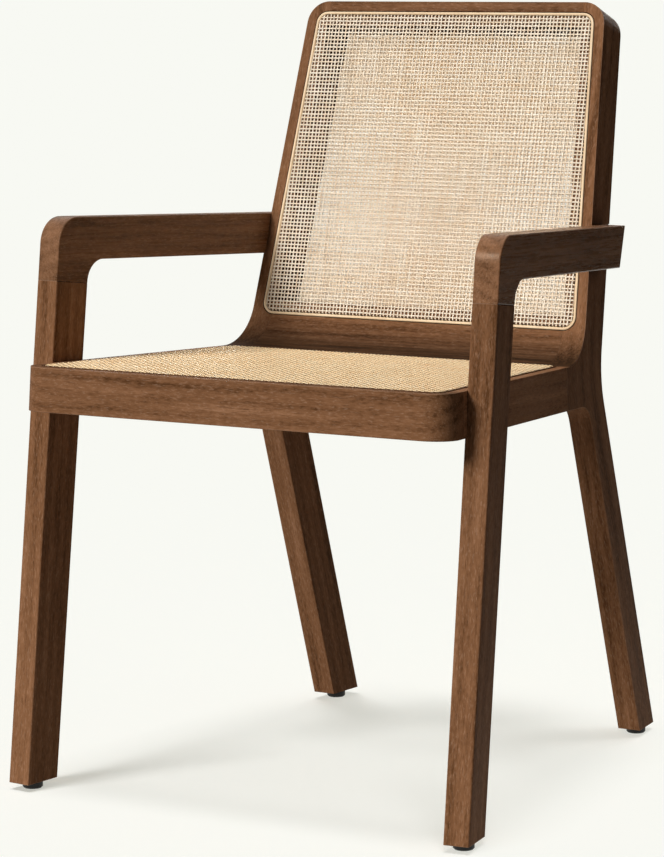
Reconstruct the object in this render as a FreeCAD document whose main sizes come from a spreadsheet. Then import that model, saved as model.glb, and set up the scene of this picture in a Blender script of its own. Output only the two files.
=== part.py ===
"""Cane armchair: a walnut frame with two side frames (front leg and arm) set outside
a seat and back frame, a cane seat and a back caned on both faces.

Millimetres. X is to the viewer's right, Y to the back, Z up. The origin is on the floor, in the plane of
symmetry. Every piece is an object of one document, and its sizes are bound to the sheet called Sizes.
"""
import FreeCAD, Part
import os
import re
import Sketcher
from FreeCAD import Vector

# Driving dimensions: name, value, what it is
DIMENSIONS = [
    ("overall_height", 841.0, "floor to the front top edge of the back"),
    ("overall_depth", 615.9, "front edge of the seat frame to the rear of the rear feet"),
    ("glide_height", 8.0, "height of a glide under each leg"),
    ("glide_radius", 11.0, "radius of a glide"),
    ("glide_easing", 1.5, "bevel round the foot of a glide"),
    ("nail_radius", 1.3, "radius of the nail of a glide"),
    ("nail_length", 14.0, "length of the nail above the glide"),
    ("seat_front_z", 461.6, "height of the seat frame at its front edge"),
    ("seat_slope", 1.67, "fall of the seat to the back, degrees"),
    ("rail_height", 47.0, "height of the seat rails"),
    ("front_rail_depth", 45.0, "front to back size of the front rail"),
    ("seat_corner_radius", 28.0, "rounding of the front corners of the seat"),
    ("joint_inset", 8.0, "rear edge of the seat groove to the joint of side rail and back post"),
    ("rear_sweep", 164.3, "line where the back meets the seat to the front of the rear foot"),
    ("post_half", 242.1, "half distance of the outer post faces, taken at the origin"),
    ("post_plan", 5.8, "turn of posts and side rails in plan, degrees"),
    ("post_cant", 2.32, "inward lean of posts and side rails going up, degrees"),
    ("post_thick", 27.0, "thickness of posts and side rails"),
    ("back_lean", 15.1, "backward lean of the back, degrees"),
    ("stile_depth", 58.0, "front to back size of the back frame"),
    ("back_corner_radius", 26.0, "rounding of the top corners of the back"),
    ("crest_height", 28.0, "height of the top rail of the back"),
    ("land_width", 12.5, "wood left inside the back grooves, under the cane"),
    ("rear_leg_rake", 20.4, "backward rake of the rear leg going down, degrees"),
    ("rear_leg_depth", 49.8, "level front to back size of the rear leg"),
    ("cove_radius", 56.0, "curve from the back down onto the seat"),
    ("knee_radius", 32.0, "curve under the rail at the front of the rear leg"),
    ("bend_radius", 95.0, "curve at the rear of the post"),
    ("rear_rail_depth", 112.0, "front to back size of the flat rear rail"),
    ("rear_rail_thick", 25.0, "thickness of the flat rear rail"),
    ("housing_depth", 0.2, "least depth that the side frames are let into rails and posts"),
    ("frame_cant", 0.52, "outward lean of the side frames going up, degrees"),
    ("frame_thick", 27.5, "thickness of front legs and arms"),
    ("leg_foot_set", 0.4, "front edge of the seat to the front of the leg, carried down to the floor"),
    ("leg_foot_depth", 48.5, "front to back size of the front leg at the floor"),
    ("leg_rake", 6.6, "rake of the front of the front leg, degrees"),
    ("leg_rear_rake", 6.9, "rake of the rear of the front leg, degrees"),
    ("seam_margin", 1.5, "straight wood between the arm's inner curve and its joint with the leg"),
    ("arm_front_z", 614.6, "height of the arm at its front corner"),
    ("arm_slope", 2.5, "fall of the arm to the back, degrees"),
    ("arm_depth", 46.4, "height of the section of the arm"),
    ("arm_lap", 35.0, "how far the top of the arm runs past the front of the post"),
    ("arm_end_cut", 15.9, "how far the lower corner of the arm's end stands forward"),
    ("arm_corner_radius", 30.0, "outer rounding of the arm's front corner"),
    ("arm_inner_radius", 26.0, "inner rounding between arm and front leg"),
    ("edge_easing", 1.5, "rounding of the long edges of legs and arms"),
    ("rim_width", 11.5, "wood outside the cane grooves"),
    ("back_sill", 35.0, "foot of the back to the lower edge of its grooves"),
    ("back_groove_corner", 15.0, "lower corner radius of the back grooves"),
    ("rear_recess", 13.0, "depth that the rear cane is set into the back"),
    ("recess_margin", 4.0, "wood between the edge of that recess and the rear groove"),
    ("cove_margin", 1.4, "flat wood between the seat groove and the curve of the back"),
    ("seat_groove_corner", 12.0, "rear corner radius of the seat groove"),
    ("groove_depth", 6.0, "depth of the cane grooves"),
    ("spline_width", 4.0, "width of the reed spline"),
    ("spline_proud", 0.8, "how far the spline stands above the wood"),
    ("cane_thick", 1.0, "thickness of the cane sheet"),
    ("opening_share", 0.455, "open share of the grid in the cane, along each of its two ways"),
    ("groove_clearance", 0.05, "play on each side of spline and cane in the groove"),
    ("groove_floor_gap", 0.3, "play under spline and cane in the groove"),
    ("dowel_radius", 4.0, "radius of the dowels"),
    ("dowel_length", 32.0, "length of the dowels"),
    ("dowel_clearance", 0.1, "play round a dowel"),
    ("dowel_end_gap", 1.0, "room at each end of a dowel"),
    ("dowel_spacing", 22.0, "distance of the two dowels of a joint"),
    ("bolt_radius", 3.0, "radius of the leg bolts"),
    ("bolt_spacing", 24.0, "distance of the two bolts of a leg"),
    ("bolt_drop", 15.0, "seat surface to the bolts"),
    ("bolt_grip", 20.0, "wood between leg and washer"),
    ("bolt_reach", 12.0, "length of a bolt inside the leg"),
    ("bolt_head_radius", 5.0, "radius of the bolt head"),
    ("bolt_head_height", 6.0, "height of the bolt head"),
    ("socket_radius", 2.9, "corner radius of the hexagon socket"),
    ("socket_depth", 3.0, "depth of the hexagon socket"),
    ("washer_radius", 8.0, "radius of the washers"),
    ("washer_thick", 1.5, "thickness of the washers"),
    ("insert_radius", 5.0, "radius of the threaded inserts"),
    ("insert_length", 13.0, "length of the threaded inserts"),
    ("hardware_clearance", 0.1, "play round bolts, inserts, screws and nails"),
    ("counterbore_play", 1.0, "room round a washer or screw head in its counterbore"),
    ("block_reach", 50.0, "length of a corner block along each rail"),
    ("block_height", 18.0, "height of a corner block"),
    ("block_toe", 8.0, "blunt end of a corner block at the cross rail"),
    ("block_heel", 16.0, "blunt end of a corner block at the side rail"),
    ("block_lift", 2.0, "bottom of the rails to the corner blocks"),
    ("screw_radius", 2.0, "radius of the wood screws"),
    ("screw_length", 32.0, "length of the wood screws under the head"),
    ("screw_head_radius", 4.0, "radius of the screw head"),
    ("screw_head_height", 3.0, "height of the screw head"),
    ("screw_grip", 14.0, "wood under the screw head before the joint"),
    ("screw_inset", 12.0, "end of a corner block to its screw"),
    ("rear_screw_spacing", 110.0, "distance of the screws of the rear rail"),
]

# Openings of the plain grid in each cane sheet: from side to side, and along the sheet
OPENINGS = {"seat": (12, 9), "front": (10, 10), "rear": (10, 10)}

# Cutting tools run past the wood by a reach, or a little by an overrun; a quarter turn lays a z axis level
REACH = "overall_height"
OVERRUN = 2
QUARTER = 90

# Derived sizes, each an expression of the names above
DERIVED = {
    # the box of the chair is centred on the origin, front to back
    "seat_front_y": "rail_height * sin(seat_slope) - overall_depth / 2",
    "rear_foot_y": "overall_depth / 2 - rear_leg_depth + glide_height * tan(rear_leg_rake)",
    "leg_foot_y": "seat_front_y + leg_foot_set",
    # runs along the seat from its front edge: to the foot of the back, the seat groove, the joint with the
    # post and the rear rail
    "back_foot_run": "(rear_foot_y - rear_sweep - seat_front_y) / cos(seat_slope)",
    "cove_length": "cove_radius * tan(45 - (back_lean - seat_slope) / 2)",
    "seat_groove_rear_run": "back_foot_run - cove_length - cove_margin",
    "post_joint_run": "seat_groove_rear_run - joint_inset",
    "rear_rail_front_run": "seat_groove_rear_run - groove_width - land_width",
    # where the back meets the seat, and the height of the back along its lean
    "foot_y": "seat_front_y + back_foot_run * cos(seat_slope)",
    "foot_z": "seat_front_z - back_foot_run * sin(seat_slope)",
    "back_height": "(overall_height - foot_z) / cos(back_lean)",
    # the side frames: each inner face passes just inside the rail at the leg and the post at the arm
    "lean_y": "leg_foot_y + seat_front_z * tan(leg_rake)",
    "lean_x": "post_half - tan(post_plan) * lean_y - tan(post_cant) / cos(post_plan) * seat_front_z"
              " - housing_depth",
    "touch_y": "foot_y + (arm_front_z - foot_z) * tan(back_lean)",
    "rest_z": "arm_front_z - (touch_y - arm_corner_y) * tan(arm_slope)",
    "rest_y": "foot_y + (rest_z - foot_z) * tan(back_lean)",
    "rest_x": "post_half - tan(post_plan) * rest_y - tan(post_cant) / cos(post_plan) * rest_z"
              " - housing_depth",
    "frame_turn": "(lean_x - rest_x + tan(frame_cant) * (rest_z - seat_front_z)) / (rest_y - lean_y)",
    "frame_plan": "atan(frame_turn)",
    "frame_half": "lean_x + frame_turn * lean_y - tan(frame_cant) * seat_front_z",
    # the leg's joint with the arm lies square to the leg, just below the arm's inner curve
    "leg_top_y": "leg_foot_y + seam_height * tan(leg_rake)",
    "arm_corner_y": "leg_foot_y + arm_front_z * tan(leg_rake)",
    "leg_rear_y": "leg_foot_y + leg_foot_depth",
    "curve_length": "arm_inner_radius * tan(45 - (leg_rear_rake - arm_slope) / 2)",
    "seam_rear_z": "arm_under_z - (curve_length + seam_margin) * cos(leg_rear_rake)",
    "seam_rear_y": "leg_rear_y + seam_rear_z * tan(leg_rear_rake)",
    "seam_height": "(seam_rear_z + (seam_rear_y - leg_foot_y) * tan(leg_rake)) / (1 + tan(leg_rake)^2)",
    "seam_length": "(seam_rear_y - leg_top_y) / cos(leg_rake)",
    "arm_under_z": "(arm_front_z - arm_depth - (leg_rear_y - arm_corner_y) * tan(arm_slope))"
                   " / (1 + tan(leg_rear_rake) * tan(arm_slope))",
    "arm_rear_y": "rest_y / cos(frame_plan) + arm_lap",
    "arm_rear_z": "arm_front_z - (arm_rear_y - arm_corner_y) * tan(arm_slope)",
    # the joint of arm and post: the middle of their overlap
    "arm_joint_z": "arm_rear_z - arm_depth / 2",
    "post_front_y": "foot_y + (arm_joint_z - foot_z) * tan(back_lean)",
    "arm_joint_y": "(post_front_y / cos(frame_plan) + arm_rear_y - arm_end_cut / 2) / 2",
    # the bent post
    "stile_rear_run": "(rear_foot_y + rear_leg_depth"
                      " - (foot_z - stile_depth * sin(back_lean)) * tan(rear_leg_rake)"
                      " - foot_y - stile_depth * cos(back_lean))"
                      " / (sin(back_lean) + cos(back_lean) * tan(rear_leg_rake))",
    "knee_run": "(rear_foot_y - (seat_front_z - rail_height * cos(seat_slope)) * tan(rear_leg_rake)"
                " - seat_front_y + rail_height * sin(seat_slope))"
                " / (cos(seat_slope) - sin(seat_slope) * tan(rear_leg_rake))",
    "rear_joint_depth": "rail_height - rear_rail_thick",
    "bolt_y": "leg_foot_y + leg_foot_depth / 2 + bolt_z * tan(leg_rake)",
    "bolt_z": "seat_front_z - bolt_drop - (leg_foot_y + leg_foot_depth / 2 + seat_front_z * tan(leg_rake)"
              " - seat_front_y) * tan(seat_slope)",
    "groove_width": "spline_width + cane_thick + 4 * groove_clearance",
    "cane_offset": "spline_width + 3 * groove_clearance",
    "back_land_run": "back_sill + groove_width + land_width",
    "rear_face": "stile_depth - rear_recess",
    "dowel_half": "dowel_spacing / 2",
    "block_base": "block_lift - rail_height",
    "block_middle": "block_base + block_height / 2",
}
SIZE_NAMES = {name for name, value, note in DIMENSIONS}

doc = FreeCAD.newDocument("cane_armchair")
sizes = doc.addObject("Spreadsheet::Sheet", "Sizes")
for row, (name, value, note) in enumerate(DIMENSIONS, start=1):
    sizes.set(f"A{row}", name)
    sizes.set(f"B{row}", str(value))
    sizes.setAlias(f"B{row}", name)
    sizes.set(f"C{row}", note)
doc.recompute()


def bound(text):
    """Spell out the derived names of an expression and point its size names at the sheet."""
    def spell(match):
        word = match.group(0)
        if word in DERIVED:
            return "(" + bound(DERIVED[word]) + ")"
        if word in SIZE_NAMES:
            return "Sizes." + word
        return word
    return re.sub(r"[a-z][a-z_]*", spell, str(text))


def number(text):
    """The present value of an expression."""
    return float(sizes.evalExpression(bound(text)))


def place(x=0, y=0, z=0, yaw=0, pitch=0, roll=0):
    """Text of a placement: a position, then a turn about Z, Y and X."""
    return f"placement(vector({x}; {y}; {z}); rotation({yaw}; {pitch}; {roll}))"


def bind(item, **expressions):
    for name, text in expressions.items():
        item.setExpression(name, bound(text))


# Frames: the seat (origin at its front edge, z up out of the seat), the back (origin where it meets the
# seat, z up along the back, y into its depth), and on each side the post plane and the side frame plane
SEAT = place(y="seat_front_y", z="seat_front_z", roll="-seat_slope")
BACK = place(y="foot_y", z="foot_z", roll="-back_lean")
SIDES = (("left", -1), ("right", 1))


def post_frame(side):
    return place(x=f"{side} * post_half", yaw=f"{side} * post_plan", pitch=f"-{side} * post_cant")


def side_frame(side):
    return place(x=f"{side} * frame_half", yaw=f"{side} * frame_plan", pitch=f"{side} * frame_cant")


def seat_point(y, z):
    """World y and z of a point of the seat frame."""
    return (f"(seat_front_y + ({y}) * cos(seat_slope) + ({z}) * sin(seat_slope))",
            f"(seat_front_z - ({y}) * sin(seat_slope) + ({z}) * cos(seat_slope))")


def back_point(y, z):
    """World y and z of a point of the back frame."""
    return (f"(foot_y + ({y}) * cos(back_lean) + ({z}) * sin(back_lean))",
            f"(foot_z - ({y}) * sin(back_lean) + ({z}) * cos(back_lean))")


def outer_x(point, inset="0"):
    """Half width of the chair at the outer post plane, less an inset square to that plane."""
    y, z = point
    return (f"(post_half - ({inset}) / (cos(post_plan) * cos(post_cant)) - tan(post_plan) * {y}"
            f" - tan(post_cant) / cos(post_plan) * {z})")


# Building blocks
def origin_plane(body, role):
    return [plane for plane in body.Origin.OriginFeatures if plane.Role == role][0]


def outline_sketch(body, plane, corners):
    """A closed outline of straight lines in a body, its corners held by bound distances."""
    sketch = body.newObject("Sketcher::SketchObject", body.Name + "_outline")
    sketch.AttachmentSupport = [(origin_plane(body, plane), "")]
    sketch.MapMode = "FlatFace"
    points = [Vector(number(x), number(y), 0) for x, y in corners]
    count = len(points)
    for index in range(count):
        sketch.addGeometry(Part.LineSegment(points[index], points[(index + 1) % count]), False)
    for index in range(count):
        sketch.addConstraint(Sketcher.Constraint("Coincident", index, 2, (index + 1) % count, 1))
    for index, corner in enumerate(corners):
        for kind, text, value in zip(("DistanceX", "DistanceY"), corner, points[index]):
            held = sketch.addConstraint(Sketcher.Constraint(kind, -1, 1, index, 1, value))
            sketch.setExpression(f"Constraints[{held}]", bound(text))
    return sketch


def outline_body(name, plane, corners, length, placement=None, backwards=False):
    """A body padded from one closed outline."""
    body = doc.addObject("PartDesign::Body", name)
    pad_outline = outline_sketch(body, plane, corners)
    pad = body.newObject("PartDesign::Pad", name + "_pad")
    pad.Profile = pad_outline
    pad.Reversed = backwards
    bind(pad, Length=length)
    if placement:
        bind(body, Placement=placement)
    doc.recompute()
    return body


def edges_at(shape, spots):
    """Names of the edges whose middles lie nearest to the given spots."""
    names = []
    for spot in spots:
        distances = [(edge.CenterOfMass - spot).Length for edge in shape.Edges]
        names.append(f"Edge{distances.index(min(distances)) + 1}")
    return names


def round_edges(body, name, spots, radius):
    """Fillet the edges of a body nearest to the spots, which are in the body's own frame."""
    base = body.Tip
    fillet = body.newObject("PartDesign::Fillet", name)
    fillet.Base = (base, edges_at(base.Shape, spots))
    bind(fillet, Radius=radius)
    doc.recompute()


def ease_faces(body, name, normal, radius):
    """Fillet all edges of the flat faces of a body that look along the given axis."""
    base = body.Tip
    fillet = body.newObject("PartDesign::Fillet", name)
    faces = []
    for index, face in enumerate(base.Shape.Faces, start=1):
        if face.Surface.TypeId == "Part::GeomPlane" and abs(face.normalAt(0, 0).dot(normal)) > 0.999:
            faces.append(f"Face{index}")
    fillet.Base = (base, faces)
    bind(fillet, Radius=radius)
    doc.recompute()


def box(name, length, width, height, placement):
    item = doc.addObject("Part::Box", name)
    bind(item, Length=length, Width=width, Height=height, Placement=placement)
    return item


def cylinder(name, radius, length, placement):
    item = doc.addObject("Part::Cylinder", name)
    bind(item, Radius=radius, Height=length, Placement=placement)
    return item


def fused(name, items):
    item = doc.addObject("Part::MultiFuse", name)
    item.Shapes = items
    return item


def common(name, base, tool):
    item = doc.addObject("Part::Common", name)
    item.Base = base
    item.Tool = tool
    return item


def cut(name, base, tools):
    """The base less its tools; the result carries the name of the piece."""
    item = doc.addObject("Part::Cut", name)
    item.Base = base
    item.Tool = tools[0] if len(tools) == 1 else fused(name + "_tools", tools)
    return item


def group(name, items):
    item = doc.addObject("Part::Compound", name)
    item.Links = items
    return item


pieces = []
cutters = {}


def cut_from(node, tool):
    cutters.setdefault(node, []).append(tool)


def dowel(name, placement, *nodes):
    """A dowel centred on a placement, along its z, with its hole cut from the named pieces."""
    pin = cylinder(name, "dowel_radius", "dowel_length", f"{placement} * {place(z='-dowel_length / 2')}")
    start = place(z="-dowel_length / 2 - dowel_end_gap")
    hole = cylinder(name + "_hole", "dowel_radius + dowel_clearance", "dowel_length + 2 * dowel_end_gap",
                    f"{placement} * {start}")
    for node in nodes:
        cut_from(node, hole)
    return pin


def screw(name, placement, entry, *nodes):
    """A wood screw along z, its head under z = 0, with hole and counterbore cut from the named pieces.

    The first piece named takes the counterbore, which runs back along -z for the length called entry.
    """
    shank = cylinder(name + "_shank", "screw_radius", "screw_length", placement)
    head = cylinder(name + "_head", "screw_head_radius", "screw_head_height",
                    f"{placement} * {place(z='-screw_head_height')}")
    hole = cylinder(name + "_hole", "screw_radius + hardware_clearance", "screw_length + dowel_end_gap",
                    placement)
    bore = cylinder(name + "_bore", "screw_head_radius + counterbore_play", entry,
                    f"{placement} * {place(z=f'-({entry})')}")
    for node in nodes:
        cut_from(node, hole)
    cut_from(nodes[0], bore)
    return fused(name, [shank, head])


# Planks of the post planes, and all that lies outside their inner and outer faces
def post_plank(label, side, name, near, thick):
    start = f"-({near}) - ({thick})" if side > 0 else f"({near})"
    corner = place(x=start, y=f"-{REACH}", z=f"-{REACH}")
    return box(f"{label}_{name}", thick, f"2 * {REACH}", f"3 * {REACH}", f"{post_frame(side)} * {corner}")


plank = {}
beyond_inner = {}
beyond_outer = {}
for label, side in SIDES:
    plank[side] = post_plank(label, side, "plank", "0", "post_thick")
    beyond_inner[side] = post_plank(label, side, "beyond_inner", f"-{REACH}", f"post_thick + {REACH}")
    beyond_outer[side] = post_plank(label, side, "beyond_outer", f"-{REACH}", REACH)
half_width = f"({REACH} / 2)"


# Side frames: front legs and arms
def leg_body(label, side):
    corners = [
        (f"leg_foot_y - {OVERRUN} * tan(leg_rake)", f"-{OVERRUN}"),
        (f"leg_rear_y - {OVERRUN} * tan(leg_rear_rake)", f"-{OVERRUN}"),
        ("seam_rear_y", "seam_rear_z"),
        ("leg_top_y", "seam_height"),
    ]
    return outline_body(f"{label}_leg_blank", "YZ_Plane", corners, "frame_thick", side_frame(side), side < 0)


def arm_body(label, side):
    under_y = "leg_rear_y + arm_under_z * tan(leg_rear_rake)"
    rear_under_z = "arm_rear_z - arm_depth + arm_end_cut * tan(arm_slope)"
    corners = [
        ("leg_top_y", "seam_height"),
        ("seam_rear_y", "seam_rear_z"),
        (under_y, "arm_under_z"),
        ("arm_rear_y - arm_end_cut", rear_under_z),
        ("arm_rear_y", "arm_rear_z"),
        ("arm_corner_y", "arm_front_z"),
    ]
    body = outline_body(f"{label}_arm_blank", "YZ_Plane", corners, "frame_thick", side_frame(side), side < 0)
    middle = side * number("frame_thick") / 2
    front = Vector(middle, number("arm_corner_y"), number("arm_front_z"))
    under = Vector(middle, number(under_y), number("arm_under_z"))
    round_edges(body, f"{label}_arm_corner", [front], "arm_corner_radius")
    round_edges(body, f"{label}_arm_inner", [under], "arm_inner_radius")
    ease_faces(body, f"{label}_arm_easing", Vector(1, 0, 0), "edge_easing")
    return body


def floor_cut():
    corner = place(x=f"-{REACH}", y=f"-{REACH}", z=f"-{REACH}")
    return box("below_feet", f"2 * {REACH}", f"2 * {REACH}", f"{REACH} + glide_height", corner)


def front_foot(side):
    """Placement of the middle of a front leg's foot: level, on the floor."""
    rise = "frame_thick / 2 * tan(frame_cant)"
    return (f"{side_frame(side)} * "
            + place(x=f"{side} * frame_thick / 2", y="leg_foot_y + leg_foot_depth / 2", z=rise,
                    pitch=f"-{side} * frame_cant"))


def rear_foot(side):
    """Placement of the middle of a rear leg's foot."""
    y = "(rear_foot_y + rear_leg_depth / 2 - glide_height * tan(rear_leg_rake))"
    return place(x=f"{side} * {outer_x((y, 'glide_height'), 'post_thick / 2')}", y=y)


def glide(name, placement, leg):
    """A low button with its nail, turned in one piece."""
    body = doc.addObject("PartDesign::Body", name)
    corners = [
        ("0", "0"),
        ("glide_radius - glide_easing", "0"),
        ("glide_radius", "glide_easing"),
        ("glide_radius", "glide_height"),
        ("nail_radius", "glide_height"),
        ("nail_radius", "glide_height + nail_length"),
        ("0", "glide_height + nail_length"),
    ]
    half_section = outline_sketch(body, "XZ_Plane", corners)
    turned = body.newObject("PartDesign::Revolution", name + "_turned")
    turned.Profile = half_section
    turned.ReferenceAxis = (half_section, ["V_Axis"])
    bind(body, Placement=placement)
    hole = cylinder(name + "_nail_hole", "nail_radius + hardware_clearance",
                    "glide_height + nail_length + dowel_end_gap", placement)
    cut_from(leg, hole)
    return body


# Seat and back frame
def post_body(label, side):
    corners = [
        seat_point("post_joint_run", "0"),
        seat_point("post_joint_run", "-rail_height"),
        seat_point("knee_run", "-rail_height"),
        ("rear_foot_y - glide_height * tan(rear_leg_rake)", "glide_height"),
        ("rear_foot_y + rear_leg_depth - glide_height * tan(rear_leg_rake)", "glide_height"),
        back_point("stile_depth", "stile_rear_run"),
        back_point("stile_depth", "back_height"),
        back_point("0", "back_height"),
        back_point("0", "0"),
    ]
    body = outline_body(f"{label}_post_profile", "YZ_Plane", corners, half_width, None, side < 0)
    middle = side * number(half_width) / 2
    for name, corner, radius in (("cove", corners[8], "cove_radius"), ("knee", corners[2], "knee_radius"),
                                 ("bend", corners[5], "bend_radius")):
        spot = Vector(middle, number(corner[0]), number(corner[1]))
        round_edges(body, f"{label}_post_{name}", [spot], radius)
    return common(f"{label}_post_blank", body, plank[side])


def rounded_post(label, side, blank):
    """The post with the outer corner of its top rounded."""
    doc.recompute()
    y, z = back_point("stile_depth / 2", "back_height")
    spot = Vector(side * number(outer_x((y, z))), number(y), number(z))
    fillet = doc.addObject("Part::Fillet", f"{label}_post_rounded")
    fillet.Base = blank
    edge = int(edges_at(blank.Shape, [spot])[0][4:])
    radius = number("back_corner_radius")
    fillet.Edges = [(edge, radius, radius)]
    doc.recompute()
    return fillet


def side_rail_body(label, side):
    corners = [
        ("front_rail_depth", "-rail_height"), ("post_joint_run", "-rail_height"),
        ("post_joint_run", "0"), ("front_rail_depth", "0"),
    ]
    body = outline_body(f"{label}_rail_profile", "YZ_Plane", corners, half_width, SEAT, side < 0)
    return common(f"{label}_rail_blank", body, plank[side])


def front_rail_body():
    corner = place(x=f"-{half_width}", z="-rail_height")
    blank = box("front_rail_blank", f"2 * {half_width}", "front_rail_depth", "rail_height",
                f"{SEAT} * {corner}")
    trimmed = cut("front_rail_trimmed", blank, [beyond_outer[side] for label, side in SIDES])
    doc.recompute()
    y, z = seat_point("0", "-rail_height / 2")
    spots = [Vector(side * number(outer_x((y, z))), number(y), number(z)) for label, side in SIDES]
    fillet = doc.addObject("Part::Fillet", "front_rail_rounded")
    fillet.Base = trimmed
    radius = number("seat_corner_radius")
    fillet.Edges = [(int(edge[4:]), radius, radius) for edge in edges_at(trimmed.Shape, spots)]
    doc.recompute()
    return fillet


def rear_rail_body():
    corner = place(x=f"-{half_width}", y="rear_rail_front_run", z="-rail_height")
    return box("rear_rail_blank", f"2 * {half_width}", "rear_rail_depth", "rear_rail_thick",
               f"{SEAT} * {corner}")


def coved_rail_body():
    # the joint with the flat rear rail lies in the seat frame; it ends where it meets the rear of the back
    rear_run = ("(stile_depth * cos(back_lean) + rear_joint_depth * sin(seat_slope)"
                " + (stile_depth * sin(back_lean) - rear_joint_depth * cos(seat_slope)) * tan(back_lean))"
                " / (cos(seat_slope) + sin(seat_slope) * tan(back_lean))")
    corners = [
        seat_point("rear_rail_front_run", "-rear_joint_depth"),
        seat_point(f"back_foot_run + {rear_run}", "-rear_joint_depth"),
        back_point("stile_depth", "back_land_run"),
        back_point("0", "back_land_run"),
        back_point("0", "0"),
        seat_point("rear_rail_front_run", "0"),
    ]
    body = outline_body("coved_rail_profile", "YZ_Plane", corners, f"2 * {half_width}")
    shift = place(x=f"-{half_width}")
    bind(body, Placement=shift)
    spot = Vector(number(half_width), number(corners[4][0]), number(corners[4][1]))
    round_edges(body, "coved_rail_cove", [spot], "cove_radius")
    return body


def crest_body():
    corner = place(x=f"-{half_width}", z="back_height - crest_height")
    return box("crest_blank", f"2 * {half_width}", "stile_depth", "crest_height", f"{BACK} * {corner}")


# Cane, splines and their grooves: each is cut from plates that follow the groove of a face at some offset.
# The caned faces are the seat, and the front and rear of the back
def face_point(face, run):
    """World y and z of a point on a caned face, a run along from its near end."""
    if face == "seat":
        return seat_point(run, "0")
    return back_point("0" if face == "front" else "rear_face", run)


def face_body(name, face, corners, bottom, top):
    """A body padded from an outline on a caned face; bottom and top are measured out of that face."""
    thick = f"({top}) - ({bottom})"
    if face == "seat":
        return outline_body(name, "XY_Plane", corners, thick, f"{SEAT} * {place(z=bottom)}")
    start = f"-({bottom})" if face == "front" else f"rear_face + ({bottom})"
    return outline_body(name, "XZ_Plane", corners, thick, f"{BACK} * {place(y=start)}", face == "rear")


def face_plate(name, face, offset, bottom, top):
    """A plate on a caned face whose edge lies inside the outer edge of its groove by the offset."""
    edge = f"(rim_width + {offset})"
    if face == "seat":
        near, near_radius = edge, f"seat_corner_radius - {edge}"
        far, far_radius = f"(seat_groove_rear_run - ({offset}))", f"seat_groove_corner - ({offset})"
    else:
        near, near_radius = f"(back_sill + {offset})", f"back_groove_corner - ({offset})"
        far, far_radius = f"(back_height - {edge})", f"back_corner_radius - {edge}"
    near_x = outer_x(face_point(face, near), edge)
    far_x = outer_x(face_point(face, far), edge)
    corners = [(f"-{near_x}", near), (near_x, near), (far_x, far), (f"-{far_x}", far)]
    body = face_body(name, face, corners, bottom, top)
    middle = number(f"({top}) - ({bottom})") / 2
    if face == "seat":
        spots = [Vector(number(x), number(run), middle) for x, run in corners]
    else:
        depth = middle if face == "rear" else -middle
        spots = [Vector(number(x), depth, number(run)) for x, run in corners]
    round_edges(body, name + "_near", spots[:2], near_radius)
    round_edges(body, name + "_far", spots[2:], far_radius)
    return body


def openings(prefix, face):
    """A plain grid of openings inside the frame of a caned face, fanned to follow its sides."""
    across, along = OPENINGS[face]
    if face == "seat":
        near, far = "front_rail_depth", "rear_rail_front_run"
    else:
        near, far = "back_land_run", "(back_height - crest_height)"
    near_x = outer_x(face_point(face, near), "post_thick")
    far_x = outer_x(face_point(face, far), "post_thick")
    through = (f"-{OVERRUN}", f"cane_thick + {OVERRUN}")
    columns = []
    for index in range(across):
        left = f"(({2 * index + 1} - opening_share) / {across} - 1)"
        right = f"(({2 * index + 1} + opening_share) / {across} - 1)"
        corners = [(f"{left} * {near_x}", near), (f"{right} * {near_x}", near),
                   (f"{right} * {far_x}", far), (f"{left} * {far_x}", far)]
        columns.append(face_body(f"{prefix}_column_{index}", face, corners, *through))
    rows = []
    for index in range(along):
        start = f"({near} + ({far} - {near}) * ({2 * index + 1} - opening_share) / {2 * along})"
        end = f"({near} + ({far} - {near}) * ({2 * index + 1} + opening_share) / {2 * along})"
        corners = [(f"-{half_width}", start), (half_width, start), (half_width, end), (f"-{half_width}", end)]
        rows.append(face_body(f"{prefix}_row_{index}", face, corners, *through))
    return common(f"{prefix}_openings", fused(f"{prefix}_columns", columns), fused(f"{prefix}_rows", rows))


def caned(prefix, face):
    """Groove tool, spline and cane sheet of one caned face."""
    floor = "groove_floor_gap - groove_depth"
    under_floor = f"{floor} - {OVERRUN}"
    groove = cut(prefix + "_groove",
                 face_plate(prefix + "_groove_outer", face, "0", "-groove_depth", f"{OVERRUN}"),
                 [face_plate(prefix + "_groove_inner", face, "groove_width", f"-groove_depth - {OVERRUN}",
                             "0")])
    spline = cut(prefix + "_spline",
                 face_plate(prefix + "_spline_outer", face, "groove_clearance", floor, "spline_proud"),
                 [face_plate(prefix + "_spline_inner", face, "groove_clearance + spline_width", under_floor,
                             f"spline_proud + {OVERRUN}")])
    sheet = cut(prefix + "_sheet",
                face_plate(prefix + "_sheet_outer", face, "cane_offset", floor, "cane_thick"),
                [face_plate(prefix + "_sheet_inner", face, "cane_offset + cane_thick", under_floor, "0")])
    cane = cut(prefix + "_cane", sheet, [openings(prefix, face)])
    return groove, spline, cane


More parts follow.
